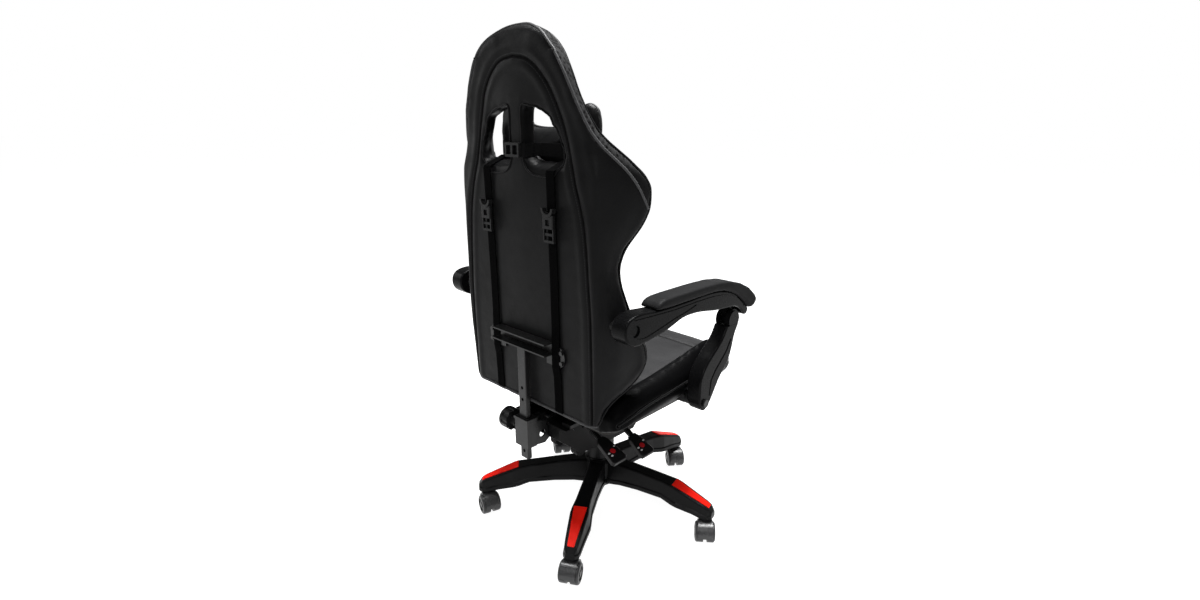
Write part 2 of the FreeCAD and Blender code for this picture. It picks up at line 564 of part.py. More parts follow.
# ------------------------------------------------------------------ backrest
# Sections of the backrest: z, rear centre y, seam (x, y), rear bulge (x, y),
# piping (x, y), rim (x, y), bolster crest (x, y), front centre y.
BACK_SECTIONS = (
    (404, 228.5, (196, 227.5), (202, 225), (204.5, 222), (205, 214), (196, 199), 198),
    (440, 229.5, (196, 228.5), (204, 225), (210, 215), (213, 200), (202, 197), 197),
    (462, 230.0, (196, 229.0), (206, 225), (216, 206), (223, 176), (208, 160), 150),
    (480, 230.5, (196, 229.0), (207, 225), (224, 197), (234, 150), (212, 128), 141),
    (505, 231.0, (196, 229.5), (208, 226), (230, 190), (240, 119), (215, 98), 136),
    (530, 231.5, (196, 230.0), (208, 227), (234, 188), (241, 105), (215, 84), 132),
    (562, 232.3, (196, 230.5), (209, 228), (237, 190), (240, 110), (214, 88), 130),
    (600, 233.3, (196, 231.0), (209, 229), (237, 197), (235, 130), (208, 108), 129),
    (650, 234.5, (194, 231.5), (208, 231), (231, 203), (226, 149), (195, 127), 131),
    (700, 235.7, (190, 232.0), (206, 232), (220, 208), (214, 160), (182, 138), 136),
    (735, 236.6, (187, 232.3), (206, 233), (215, 209), (211, 163), (180, 141), 140),
    (770, 237.4, (184, 232.5), (207, 232), (218, 204), (220, 156), (188, 134), 145),
    (812, 238.5, (180, 233.0), (208, 231), (230, 190), (242, 132), (208, 108), 155),
    (843, 239.2, (175, 233.4), (210, 230), (240, 177), (256, 126), (223, 102), 167),
    (870, 239.9, (169, 233.8), (211, 229.5), (247, 167), (261, 127), (228, 102), 178),
    (893, 240.4, (164, 234.0), (210, 229), (250, 162), (261, 129), (227, 106), 188),
    (912, 240.8, (157, 232.5), (208, 228), (246, 167), (255, 137), (221, 117), 194),
    (927, 241.2, (150, 231.5), (205, 227), (238, 178), (246, 149), (212, 130), 197),
    (948, 241.7, (143, 231.5), (196, 227), (222, 198), (230, 164), (196, 150), 201),
    (972, 242.3, (136, 231.5), (185, 227), (204, 218), (208, 184), (176, 172), 204),
    (991, 242.7, (130, 232.0), (176, 230), (193, 225), (190, 196), (160, 184), 205),
    (1029, 243.7, (117, 235.0), (165, 237), (178, 235), (169, 207), (140, 190), 204),
    (1060, 244.4, (104, 239.0), (150, 241), (163, 240), (153, 211), (124, 189), 201),
    (1089, 245.2, (86, 242.0), (137, 243), (150, 242), (140, 212), (112, 188), 198),
    (1114, 245.7, (58, 244.0), (125, 246), (138, 245), (125, 210), (99, 187), 196),
    (1135, 246.2, (40, 246.0), (110, 247), (124, 247), (109, 206), (88, 186), 194),
    (1158, 246.2, (34, 246.0), (88, 246), (104, 244), (89, 203), (70, 187), 194),
    (1175, 244.0, (26, 244.0), (64, 242), (78, 238), (68, 202), (50, 190), 196),
    (1187, 235.0, (18, 235.0), (36, 233), (48, 228), (42, 206), (30, 200), 201),
    (1193, 222.0, (8, 222.0), (14, 221), (18, 219), (16, 210), (10, 208), 208),
)


def back_section(z, rear, seam, bulge, piping, rim, crest, front):
    inner = (max(crest[0] - 52.0, 0.3 * crest[0]), front + 0.1 * (crest[1] - front))
    half = [(0, rear), seam, bulge, piping, rim, crest, inner, (0, front)]
    outline = half + [(-x, y) for x, y in half[-2:0:-1]]
    points = [V(x, y, z) for x, y in outline]
    return Part.makePolygon(points + points[:1])


def belt_opening():
    """Flared slot for the left belt, wider in front than on the rear face."""
    rear = [(21, 1038), (40, 1036), (81, 1021), (115, 946), (108, 910), (84, 906), (40, 911),
            (20, 936)]
    front = [(18, 1040), (54, 1038), (139, 1021), (172, 950), (160, 955), (112, 955), (40, 955),
             (18, 958)]
    wires = []
    for y, outline in ((262, rear), (150, front)):
        points = [V(x, y, z) for x, z in outline]
        wires.append(Part.makePolygon(points + points[:1]))
    return Part.makeLoft(wires, True, True)


back = Part.makeLoft([back_section(*s) for s in BACK_SECTIONS], True, True)
opening = belt_opening()
back = back.cut(opening).cut(mirrored(opening))
export("backrest_cushion", back)


def pillow(half_x, half_z, centre_y, centre_z, depth, ear, wrap):
    """Puffed cushion: sections across X, thin at the ends, with raised corners."""
    wires = []
    half = ((1.0, 0.25, 0.8 + 0.4 * ear), (0.9, 0.6, 1.0 + 0.8 * ear), (0.78, 0.8, 1.0 + ear),
            (0.58, 0.94, 1.0 + 0.9 * ear), (0.42, 1.0, 1.0))
    sections = [(-x, fat, tall) for x, fat, tall in half] + [(0.0, 1.0, 0.96)] + list(half[::-1])
    for x, fat, tall in sections:
        y0 = centre_y + wrap * abs(x) ** 2
        d, h = 0.5 * depth * fat, half_z * tall
        outline = [(y0 + d, -0.55 * h), (y0 + d, 0.55 * h), (y0 + 0.45 * d, 0.93 * h), (y0, h),
                   (y0 - 0.45 * d, 0.93 * h), (y0 - d, 0.55 * h), (y0 - d, -0.55 * h),
                   (y0 - 0.45 * d, -0.93 * h), (y0, -h), (y0 + 0.45 * d, -0.93 * h)]
        points = [V(x * half_x, y, centre_z + z) for y, z in outline]
        wires.append(Part.makePolygon(points + points[:1]))
    return Part.makeLoft(wires, True, True)


export("head_pillow", pillow(145, 70, 149, 930, 74, 0.54, 5))
export("lumbar_pillow", pillow(128, 88, 88, 666, 80, 0.05, 4))


# -------------------------------------------------------------------- straps
def ribbon(path, thickness, x0, x1):
    """Flat webbing along (y, z) points, lying to the right of the path."""
    offset = []
    for i, (y, z) in enumerate(path):
        a, b = path[max(i - 1, 0)], path[min(i + 1, len(path) - 1)]
        length = math.hypot(b[0] - a[0], b[1] - a[1])
        offset.append((y + thickness * (b[1] - a[1]) / length, z - thickness * (b[0] - a[0]) / length))
    return side_prism(path + offset[::-1], x0, x1)


REAR_RUN = [(136.0, 735), (140.5, 770), (150.5, 812), (163.0, 843), (184.0, 893), (190.5, 915),
            (193.5, 939.5), (241.5, 919.0), (243.6, 913.0), (242.6, 893), (240.4, 800), (237.8, 690),
            (236.6, 600), (237.4, 566), (237.6, 512), (233.4, 490), (231.5, 440), (231.0, 404),
            (228.0, 401.2), (199.5, 401.2), (196.4, 404), (195.0, 438), (190.0, 446), (147.0, 463),
            (137.0, 482), (131.0, 510), (127.5, 545), (125.8, 600), (125.6, 640)]
path = [(y, z) for y, z in REAR_RUN]
straps = []
for s in (-1, 1):
    x0, x1 = s * STRAP_X - STRAP_W / 2, s * STRAP_X + STRAP_W / 2
    straps.append(ribbon(path[::-1], -STRAP_T, x0, x1))
export("back_straps", straps)


def side_buckle(x, y, z):
    """Side-release buckle on the rear run of a strap, hung in a half-round yoke."""
    yoke = ring(17.0, 11.5, (x, y, z), (x, y + 11.0, z))
    yoke = yoke.common(box(x - 20, x + 20, y, y + 12, z - 20, z))
    body = box(x - 15, x + 15, y, y + 9.0, z - 40, z - 13)
    body = softened(body, 2.5, lambda e: e.BoundBox.ZLength > 20)
    body = body.cut(box(x - 6, x + 6, y + 5.0, y + 12.0, z - 34, z - 22))
    rails = [box(x + s * 13.5 - 1.5, x + s * 13.5 + 1.5, y + 1.0, y + 7.0, z - 64, z - 39) for s in (-1, 1)]
    bars = [box(x - 15, x + 15, y + 1.0, y + 6.0, low, low + 5.0) for low in (z - 68, z - 54)]
    return fuse([yoke, body] + rails + bars)


export("back_buckles", [side_buckle(s * STRAP_X, 243.2, 848) for s in (-1, 1)])


def head_band():
    """Elastic band of the head pillow round the bar between the belt slots."""
    half = [(0, 245.0), (17, 245.0), (22.5, 240.0), (23.5, 214.0), (34, 202.0), (92, 195.0),
            (122, 178.0), (140, 158.0)]
    outer = [(0, 247.4), (18, 247.4), (24.9, 241.0), (25.9, 215.0), (35, 204.4), (93, 197.4),
             (123.6, 180.0), (141.8, 159.8)]
    outline = half[::-1] + [(-x, y) for x, y in half[1:]]
    outline += [(-x, y) for x, y in outer[::-1]] + outer[1:]
    return plan_prism(outline, 942, 968)


export("head_band", head_band())
head_buckle = softened(box(-22, 22, 247.5, 254, 941, 969), 2.5, lambda e: e.BoundBox.YLength > 5)
for start in (-17, 3):
    head_buckle = head_buckle.cut(box(start, start + 14, 245, 256, 946, 964))
export("head_buckle", head_buckle)
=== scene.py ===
import json
import math
import bpy
import numpy as np
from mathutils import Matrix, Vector, kdtree

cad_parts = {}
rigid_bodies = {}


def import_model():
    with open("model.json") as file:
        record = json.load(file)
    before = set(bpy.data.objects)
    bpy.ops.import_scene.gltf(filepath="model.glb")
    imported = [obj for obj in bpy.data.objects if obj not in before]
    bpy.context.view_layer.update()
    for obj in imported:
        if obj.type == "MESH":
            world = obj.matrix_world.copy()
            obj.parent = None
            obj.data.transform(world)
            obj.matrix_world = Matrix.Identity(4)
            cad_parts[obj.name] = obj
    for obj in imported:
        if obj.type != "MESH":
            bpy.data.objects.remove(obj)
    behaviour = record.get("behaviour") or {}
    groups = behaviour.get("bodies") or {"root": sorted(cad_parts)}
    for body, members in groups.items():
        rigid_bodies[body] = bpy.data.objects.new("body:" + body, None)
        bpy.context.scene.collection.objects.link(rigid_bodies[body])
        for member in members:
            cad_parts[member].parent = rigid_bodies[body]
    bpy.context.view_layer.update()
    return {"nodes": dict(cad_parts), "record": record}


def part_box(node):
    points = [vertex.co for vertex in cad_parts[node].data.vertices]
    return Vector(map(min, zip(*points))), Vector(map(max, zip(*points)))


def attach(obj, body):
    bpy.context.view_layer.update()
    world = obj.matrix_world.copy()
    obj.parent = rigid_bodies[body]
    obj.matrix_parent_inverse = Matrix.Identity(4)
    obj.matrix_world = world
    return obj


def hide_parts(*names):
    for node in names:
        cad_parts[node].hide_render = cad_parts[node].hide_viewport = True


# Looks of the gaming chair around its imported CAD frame: sewn covers, pads,
# webbing, small printed marks, materials, floor, light and camera.
# Lengths written in millimetres use the CAD datum, DATUM mm under the floor.

for old in list(bpy.data.objects):
    bpy.data.objects.remove(old)
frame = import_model()
scene = bpy.context.scene
DATUM = 30.0


def mm(x, y, z):
    return Vector((x / 1000.0, y / 1000.0, (z - DATUM) / 1000.0))


# ----------------------------------------------------------------- materials
MIX_A, MIX_B, MIX_RESULT = 6, 7, 2        # the colour sockets of a mix node


class Nodes:
    """Short helper to build one procedural material."""

    def __init__(self, name, colour, roughness, metallic=0.0, specular=0.5, coat=0.0, sheen=0.0):
        self.material = bpy.data.materials.new(name)
        self.material.use_nodes = True
        self.tree = self.material.node_tree
        self.bsdf = self.tree.nodes["Principled BSDF"]
        self.bsdf.inputs["Base Color"].default_value = (*colour, 1.0)
        self.bsdf.inputs["Roughness"].default_value = roughness
        self.bsdf.inputs["Metallic"].default_value = metallic
        self.bsdf.inputs["Specular IOR Level"].default_value = specular
        self.bsdf.inputs["Coat Weight"].default_value = coat
        self.bsdf.inputs["Coat Roughness"].default_value = 0.25
        self.bsdf.inputs["Sheen Weight"].default_value = sheen
        self.bsdf.inputs["Sheen Roughness"].default_value = 0.4
        self.coords = self.add("ShaderNodeTexCoord").outputs["Object"]

    def add(self, kind, **settings):
        node = self.tree.nodes.new(kind)
        for key, value in settings.items():
            setattr(node, key, value)
        return node

    def link(self, source, target):
        self.tree.links.new(source, target)

    def math(self, operation, a, b=0.0, clamp=False):
        node = self.add("ShaderNodeMath", operation=operation, use_clamp=clamp)
        for socket, value in zip(node.inputs, (a, b)):
            if isinstance(value, (int, float)):
                socket.default_value = value
            else:
                self.link(value, socket)
        return node.outputs[0]

    def stretch(self, scale):
        node = self.add("ShaderNodeMapping")
        node.inputs["Scale"].default_value = scale
        self.link(self.coords, node.inputs["Vector"])
        return node.outputs[0]

    def noise(self, scale, detail=2.0, coords=None):
        node = self.add("ShaderNodeTexNoise")
        node.inputs["Scale"].default_value = scale
        node.inputs["Detail"].default_value = detail
        self.link(coords or self.coords, node.inputs["Vector"])
        return node.outputs["Fac"]

    def cells(self, scale, feature="F1", coords=None):
        node = self.add("ShaderNodeTexVoronoi", feature=feature)
        node.inputs["Scale"].default_value = scale
        self.link(coords or self.coords, node.inputs["Vector"])
        return node.outputs["Distance"]

    def height_above_floor(self):
        split = self.add("ShaderNodeSeparateXYZ")
        self.link(self.coords, split.inputs[0])
        return split.outputs["Z"]

    def attribute(self, name):
        return self.add("ShaderNodeAttribute", attribute_name=name).outputs["Fac"]

    def ramp(self, value, low, high, out_low=0.0, out_high=1.0):
        node = self.add("ShaderNodeMapRange")
        limits = (("From Min", low), ("From Max", high), ("To Min", out_low), ("To Max", out_high))
        for key, number in limits:
            node.inputs[key].default_value = number
        self.link(value, node.inputs["Value"])
        return node.outputs[0]

    def clouds(self, scale, detail, low, high):
        """Soft patches whose value goes from low to high."""
        return self.ramp(self.noise(scale, detail), 0.3, 0.7, low, high)

    def over_colour(self, mix):
        """Put a mix node between the base colour so far and the shader."""
        current = self.bsdf.inputs["Base Color"]
        if current.is_linked:
            self.link(current.links[0].from_socket, mix.inputs[MIX_A])
        else:
            mix.inputs[MIX_A].default_value = current.default_value
        self.link(mix.outputs[MIX_RESULT], current)

    def tint(self, factor):
        """Multiply the base colour by a grey factor."""
        mix = self.add("ShaderNodeMix", data_type="RGBA", blend_type="MULTIPLY")
        mix.inputs["Factor"].default_value = 1.0
        grey = self.add("ShaderNodeCombineColor")
        for key in ("Red", "Green", "Blue"):
            self.link(factor, grey.inputs[key])
        self.link(grey.outputs[0], mix.inputs[MIX_B])
        self.over_colour(mix)

    def blend_colour(self, factor, colour):
        """Go over to another colour where factor is 1."""
        mix = self.add("ShaderNodeMix", data_type="RGBA")
        self.link(factor, mix.inputs["Factor"])
        mix.inputs[MIX_B].default_value = (*colour, 1.0)
        self.over_colour(mix)

    def rough(self, value):
        self.link(value, self.bsdf.inputs["Roughness"])

    def bump(self, height, strength, distance):
        node = self.add("ShaderNodeBump")
        node.inputs["Strength"].default_value = strength
        node.inputs["Distance"].default_value = distance
        self.link(height, node.inputs["Height"])
        current = self.bsdf.inputs["Normal"]
        if current.is_linked:
            self.link(current.links[0].from_socket, node.inputs["Normal"])
        self.link(node.outputs[0], current)


# What the leather reads from its mesh: distance from a seam and run along it, in
# metres. Stitches lie in a row beside the seam, this many dashes to the metre.
SEAM_HALF, STITCH_PLACE, STITCH_HALF, STITCHES, STITCH_PART = 0.004, 0.0055, 0.0006, 190.0, 0.62
# Low and high level between which the cover's colour is painted lighter toward the floor (painted
# light).
PAINTED_LIGHT_LOW, PAINTED_LIGHT_HIGH = 0.42, 1.1
MESH_CELLS = 150.0


def leather(name, colour, roughness=0.4, specular=0.06, with_mesh=False):
    """Grained leatherette with pressed seams, painted shade along the seam lines and painted light
    toward the floor; with_mesh adds the net of the band.
    """
    n = Nodes(name, colour, roughness, specular=specular)
    n.tint(n.clouds(9.0, 3.0, 0.82, 1.2))
    # Painted light: the colour gets lighter toward the floor, standing in for the floor light the
    # lower cover catches.
    n.tint(n.ramp(n.height_above_floor(), PAINTED_LIGHT_LOW, PAINTED_LIGHT_HIGH, 1.4, 0.88))
    seam = n.attribute("seam")
    gloss = n.clouds(35.0, 3.0, roughness - 0.06, roughness + 0.08)
    gloss = n.math("ADD", gloss, n.ramp(seam, 0.001, SEAM_HALF, 0.5, 0.0), clamp=True)
    n.rough(n.math("ADD", gloss, n.math("MULTIPLY", n.attribute("band"), 0.5), clamp=True))
    # Painted shade: the colour darkens to 3% along the seam line, standing in for the shade in the
    # sewn groove.
    n.tint(n.ramp(seam, 0.001, SEAM_HALF, 0.03, 1.0))
    beside = n.math("ABSOLUTE", n.math("SUBTRACT", seam, STITCH_PLACE))
    stitch = n.math("LESS_THAN", beside, STITCH_HALF)
    count = n.math("MULTIPLY", n.attribute("run"), STITCHES)
    dash = n.math("LESS_THAN", n.math("FRACT", count), STITCH_PART)
    thread = n.math("MULTIPLY", stitch, dash)
    n.blend_colour(n.math("MULTIPLY", thread, 0.6), (0.025, 0.025, 0.026))
    n.bump(n.cells(950.0, "DISTANCE_TO_EDGE"), 0.25, 0.0004)
    n.bump(n.noise(60.0, 5.0), 0.18, 0.002)
    n.bump(n.ramp(seam, 0.0, 0.0034), 0.7, 0.0016)
    n.bump(thread, 0.5, 0.0006)
    if with_mesh:
        band = n.attribute("band")
        holes = n.cells(MESH_CELLS, "F1", n.stretch((1.0, 1.0, 0.72)))
        net = n.ramp(holes, 0.25, 0.6)
        n.blend_colour(band, (0.016, 0.016, 0.0163))
        keep = n.math("MULTIPLY", band, n.math("SUBTRACT", 1.0, net))
        n.tint(n.math("SUBTRACT", 1.0, n.math("MULTIPLY", keep, 0.95)))
        n.bump(n.math("MULTIPLY", band, net), 0.4, 0.001)
    return n.material


def webbing(name, colour):
    """Woven strap with diagonal ribs."""
    n = Nodes(name, colour, 0.8, specular=0.01)
    wave = n.add("ShaderNodeTexWave", wave_type="BANDS", bands_direction="DIAGONAL")
    wave.inputs["Scale"].default_value = 260.0
    n.link(n.coords, wave.inputs["Vector"])
    n.tint(n.ramp(wave.outputs["Fac"], 0.0, 1.0, 0.6, 1.25))
    n.bump(wave.outputs["Fac"], 0.5, 0.0006)
    n.bump(n.noise(700.0), 0.3, 0.0005)
    return n.material


def moulded(name, colour, roughness, specular=0.4, grain=0.2, scale=1400.0):
    """Spark-eroded plastic: fine grain, faint cloudy gloss."""
    n = Nodes(name, colour, roughness, specular=specular)
    n.tint(n.clouds(14.0, 4.0, 0.88, 1.14))
    n.rough(n.clouds(50.0, 4.0, roughness - 0.05, roughness + 0.07))
    n.bump(n.noise(scale, 3.0), grain, 0.0003)
    return n.material


def painted(name, colour, roughness, specular=0.2):
    """Powder-coated steel."""
    n = Nodes(name, colour, roughness, specular=specular, coat=0.3 * specular)
    n.tint(n.clouds(22.0, 4.0, 0.85, 1.15))
    n.rough(n.clouds(90.0, 4.0, roughness - 0.06, roughness + 0.08))
    n.bump(n.noise(420.0, 2.0), 0.16, 0.0005)
    return n.material


def plated(name, colour, roughness):
    """Zinc-plated steel."""
    n = Nodes(name, colour, roughness, metallic=1.0)
    n.tint(n.clouds(60.0, 4.0, 0.8, 1.1))
    n.rough(n.clouds(120.0, 3.0, roughness - 0.08, roughness + 0.1))
    n.bump(n.noise(900.0), 0.08, 0.0003)
    return n.material


def plywood(name):
    """Dark stained plywood with its grain along the seat."""
    n = Nodes(name, (0.012, 0.0105, 0.009), 0.6, specular=0.25)
    grain = n.noise(8.0, 6.0, n.stretch((1.0, 14.0, 60.0)))
    n.tint(n.ramp(grain, 0.3, 0.7, 0.6, 1.2))
    n.bump(grain, 0.3, 0.0008)
    return n.material


def fabric(name, colour):
    """Thin woven lining."""
    n = Nodes(name, colour, 0.85, specular=0.2, sheen=0.1)
    weave = n.cells(700.0)
    n.tint(n.ramp(weave, 0.1, 0.7, 0.7, 1.2))
    n.bump(weave, 0.35, 0.0006)
    return n.material


SLOTS = {
    "black_leather": leather("leather", (0.005, 0.005, 0.0052), specular=0.05,
                             with_mesh=True),
    "webbing": webbing("webbing", (0.0015, 0.0015, 0.0016)),
    "base_nylon": moulded("base_nylon", (0.004, 0.004, 0.0042), 0.4, 0.1, 0.25),
    "black_plastic": moulded("black_plastic", (0.006, 0.006, 0.0062), 0.38, 0.15, 0.12),
    "arm_plastic": moulded("arm_plastic", (0.0032, 0.0032, 0.0034), 0.25, 0.045, 0.1),
    "arm_pad": moulded("arm_pad", (0.0098, 0.0098, 0.0101), 0.4, 0.02, 0.12, 900.0),
    "castor_grey": moulded("castor_grey", (0.038, 0.038, 0.039), 0.28, 0.4, 0.1),
    "castor_wheel": moulded("castor_wheel", (0.028, 0.028, 0.029), 0.34, 0.3, 0.1),
    "red_trim": moulded("red_trim", (0.93, 0.016, 0.008), 0.4, 0.05, 0.1),
    "black_steel": painted("black_steel", (0.0075, 0.0075, 0.0077), 0.32),
    "zinc": plated("zinc", (0.35, 0.35, 0.36), 0.34),
    "board": plywood("board"),
}
ELASTIC = webbing("elastic", (0.006, 0.006, 0.0062))
LINING = fabric("underside_cloth", (0.012, 0.012, 0.0125))
# Lit and shaded copies of the leather for the seat: a lighter top (painted light) and a much
# darker side (painted shade).
SEAT_TOP_PAINTED_LIGHT = leather("seat_top_painted_light_leather", (0.011, 0.011, 0.0113))
SEAT_SIDE_PAINTED_SHADE = leather("seat_side_painted_shade_leather", (0.0014, 0.0014, 0.0015), specular=0.015)
# Painted highlight: the piping is a lighter copy of the leather, standing in for the highlight
# along its edge.
PIPING_PAINTED_HIGHLIGHT = leather("piping_painted_highlight_leather", (0.04, 0.04, 0.041), 0.5, 0.1)
WHITE_INK = moulded("white_ink", (0.6, 0.6, 0.6), 0.5, 0.3, 0.05)
RED_INK = moulded("red_ink", (0.42, 0.006, 0.01), 0.5, 0.3, 0.05)

slot_of = {part["node"]: part["material_slot"] for part in frame["record"]["subparts"]}
for node, obj in frame["nodes"].items():
    obj.data.materials.clear()
    obj.data.materials.append(SLOTS[slot_of[node]])
# Painted shade: a darker, less glossy copy of the black steel for the mechanism, standing in for
# the shade under the seat.
MECHANISM_PAINTED_SHADE = painted("mechanism_painted_shade", (0.004, 0.004, 0.0041), 0.4, 0.06)
frame["nodes"]["mechanism"].data.materials[0] = MECHANISM_PAINTED_SHADE


# ---------------------------------------------------------------- mesh tools
def new_object(name, mesh, material):
    obj = bpy.data.objects.new(name, mesh)
    scene.collection.objects.link(obj)
    mesh.materials.clear()
    mesh.materials.append(material)
    return obj


def from_lists(name, points, faces, material, smooth=True):
    mesh = bpy.data.meshes.new(name)
    mesh.from_pydata([tuple(p) for p in points], [], faces)
    mesh.validate()
    mesh.polygons.foreach_set("use_smooth", [smooth] * len(mesh.polygons))
    return new_object(name, mesh, material)


def copy_of(node, name):
    return new_object(name, frame["nodes"][node].data.copy(), SLOTS[slot_of[node]])


def bake(obj):
    """Apply every modifier of obj."""
    bpy.context.view_layer.update()
    graph = bpy.context.evaluated_depsgraph_get()
    mesh = bpy.data.meshes.new_from_object(obj.evaluated_get(graph))
    obj.modifiers.clear()
    obj.data = mesh
    return obj


def coords(obj):
    flat = np.empty(len(obj.data.vertices) * 3, np.float64)
    obj.data.vertices.foreach_get("co", flat)
    return flat.reshape(-1, 3)


def set_coords(obj, points):
    obj.data.vertices.foreach_set("co", points.astype(np.float32).ravel())
    obj.data.update()


def normals(obj):
    flat = np.empty(len(obj.data.vertices) * 3, np.float64)
    obj.data.vertices.foreach_get("normal", flat)
    return flat.reshape(-1, 3)


# Remesh size, smoothing rounds, reach of the seams' hold on the cloth, and the
# furthest that the cloth may move a point.
BACK_VOXEL, BACK_ROUNDS, BACK_HOLD, BACK_CAP = 0.0065, 14, 0.016, 0.005
SEAT_VOXEL, SEAT_ROUNDS, SEAT_HOLD, SEAT_CAP = 0.0065, 12, 0.016, 0.006
PILLOW_VOXEL, PILLOW_ROUNDS, PILLOW_HOLD, PILLOW_CAP = 0.005, 5, 0.010, 0.010
PAD_VOXEL, PAD_ROUNDS = 0.003, 60


def voxels(obj, size):
    mod = obj.modifiers.new("remesh", "REMESH")
    mod.mode = "VOXEL"
    mod.voxel_size = size
    bake(obj)
    obj.data.polygons.foreach_set("use_smooth", [True] * len(obj.data.polygons))
    return obj


class Neighbours:
    """Mean place of every point's neighbours along the edges of a mesh."""

    def __init__(self, obj):
        edges = np.empty(len(obj.data.edges) * 2, np.int64)
        obj.data.edges.foreach_get("vertices", edges)
        self.edges = edges.reshape(-1, 2)
        self.count = len(obj.data.vertices)
        self.degree = np.bincount(edges, minlength=self.count).astype(float)

    def mean(self, points):
        result = np.empty_like(points)
        first, second = self.edges[:, 0], self.edges[:, 1]
        for k in range(3):
            total = np.bincount(first, points[second, k], self.count)
            total += np.bincount(second, points[first, k], self.count)
            result[:, k] = total / self.degree
        return result


def relax(obj, rounds):
    """Taubin smoothing, so the shape keeps its size."""
    around = Neighbours(obj)
    points = coords(obj)
    for _ in range(rounds):
        for factor in (0.55, -0.57):
            points = points + factor * (around.mean(points) - points)
    set_coords(obj, points)


def soften(obj, rounds, weight):
    """Plain smoothing where weight says so, to round a faint ridge away."""
    around = Neighbours(obj)
    points = coords(obj)
    for _ in range(rounds):
        points += 0.5 * weight[:, None] * (around.mean(points) - points)
    set_coords(obj, points)


def subdivide(obj):
    mod = obj.modifiers.new("subdivision", "SUBSURF")
    mod.levels = 1
    mod.render_levels = 1
    bake(obj)


CLOTH_FRAMES = 20
PIN_STEPS, PIN_STEP_HALF = (0.35, 0.7, 1.0), 0.18


def puff(obj, pinned, cap, pressure=4.0):
    """Blow the cover up with a short cloth simulation, held along its seams."""
    before = coords(obj)
    group = obj.vertex_groups.new(name="held")
    for weight in PIN_STEPS:
        chosen = np.nonzero(np.abs(pinned - weight) < PIN_STEP_HALF)[0]
        group.add([int(i) for i in chosen], weight, "REPLACE")
    cloth = obj.modifiers.new("cloth", "CLOTH")
    cloth.settings.use_pressure = True
    cloth.settings.uniform_pressure_force = pressure
    cloth.settings.quality = 4
    cloth.settings.mass = 0.3
    cloth.settings.tension_stiffness = 12
    cloth.settings.compression_stiffness = 12
    cloth.settings.bending_stiffness = 0.6
    cloth.settings.vertex_group_mass = "held"
    cloth.settings.effector_weights.gravity = 0.0
    cloth.point_cache.frame_start = 1
    cloth.point_cache.frame_end = CLOTH_FRAMES
    for number in range(1, CLOTH_FRAMES + 1):
        scene.frame_set(number)
    bake(obj)
    scene.frame_set(1)
    moved = coords(obj) - before
    length = np.linalg.norm(moved, axis=1, keepdims=True)
    limited = moved * np.minimum(1.0, cap / np.maximum(length, 1e-9))
    set_coords(obj, before + limited)
    obj.vertex_groups.clear()


def smooth_path(points, step=0.004, closed=False):
    """Catmull-Rom through points, resampled evenly."""
    pts = [np.array(p, float) for p in points]
    if closed:
        pts = [pts[-1]] + pts + [pts[0], pts[1]]
    else:
        pts = [2 * pts[0] - pts[1]] + pts + [2 * pts[-1] - pts[-2]]
    dense = []
    for i in range(1, len(pts) - 2):
        a, b, c, d = pts[i - 1], pts[i], pts[i + 1], pts[i + 2]
        for t in np.linspace(0, 1, 12, endpoint=False):
            dense.append(0.5 * (2 * b + (c - a) * t + (2 * a - 5 * b + 4 * c - d) * t ** 2
                                + (3 * b - a - 3 * c + d) * t ** 3))
    dense.append(pts[-2])
    dense = np.array(dense)
    run = np.r_[0, np.cumsum(np.linalg.norm(np.diff(dense, axis=0), axis=1))]
    count = max(2, int(run[-1] / step) + 1)
    even = np.linspace(0, run[-1], count)
    return np.stack([np.interp(even, run, dense[:, k]) for k in range(3)], 1)


def onto(obj, path, lift=0.0):
    """Drop a path onto the nearest surface of obj, lifted along the normal."""
    result = []
    for point in path:
        _, place, normal, _ = obj.closest_point_on_mesh(Vector(point))
        result.append(np.array(place) + lift * np.array(normal))
    return np.array(result)


def settled(obj, path, lift):
    """A path dropped onto obj, evened out along its length and lifted clear."""
    for rounds in (60, 20):
        path = onto(obj, path)
        for _ in range(rounds):
            path[1:-1] = 0.25 * path[:-2] + 0.5 * path[1:-1] + 0.25 * path[2:]
    return path + lift * (onto(obj, path, 1.0) - onto(obj, path))


def nearest(points, samples):
    """Distance to, and index of, the nearest sample for every point."""
    tree = kdtree.KDTree(len(samples))
    for i, sample in enumerate(samples):
        tree.insert(Vector(sample), i)
    tree.balance()
    found = [tree.find(Vector(p)) for p in points]
    return np.array([f[2] for f in found]), np.array([f[1] for f in found])


def store(obj, name, values):
    attribute = obj.data.attributes.new(name, "FLOAT", "POINT")
    attribute.data.foreach_set("value", values.astype(np.float32))


FAR_FROM_SEAM, SEW_STEP = 0.05, 0.002


def sew(obj, paths, depth=0.0032, width=0.005, plump=0.0015):
    """Press seam lines into a cover and store what its material needs."""
    lines = [smooth_path(p, SEW_STEP) for p in paths]
    runs = np.concatenate([np.arange(len(line)) * SEW_STEP for line in lines])
    points = coords(obj)
    distance, index = nearest(points, np.concatenate(lines))
    side = normals(obj)
    dip = -depth * np.exp(-(distance / width) ** 2)
    swell = plump * np.exp(-((distance - 3.2 * width) / (1.6 * width)) ** 2)
    set_coords(obj, points + side * (dip + swell)[:, None])
    store(obj, "seam", np.minimum(distance, FAR_FROM_SEAM))
    store(obj, "run", runs[index])


CORD_SIDES = 8


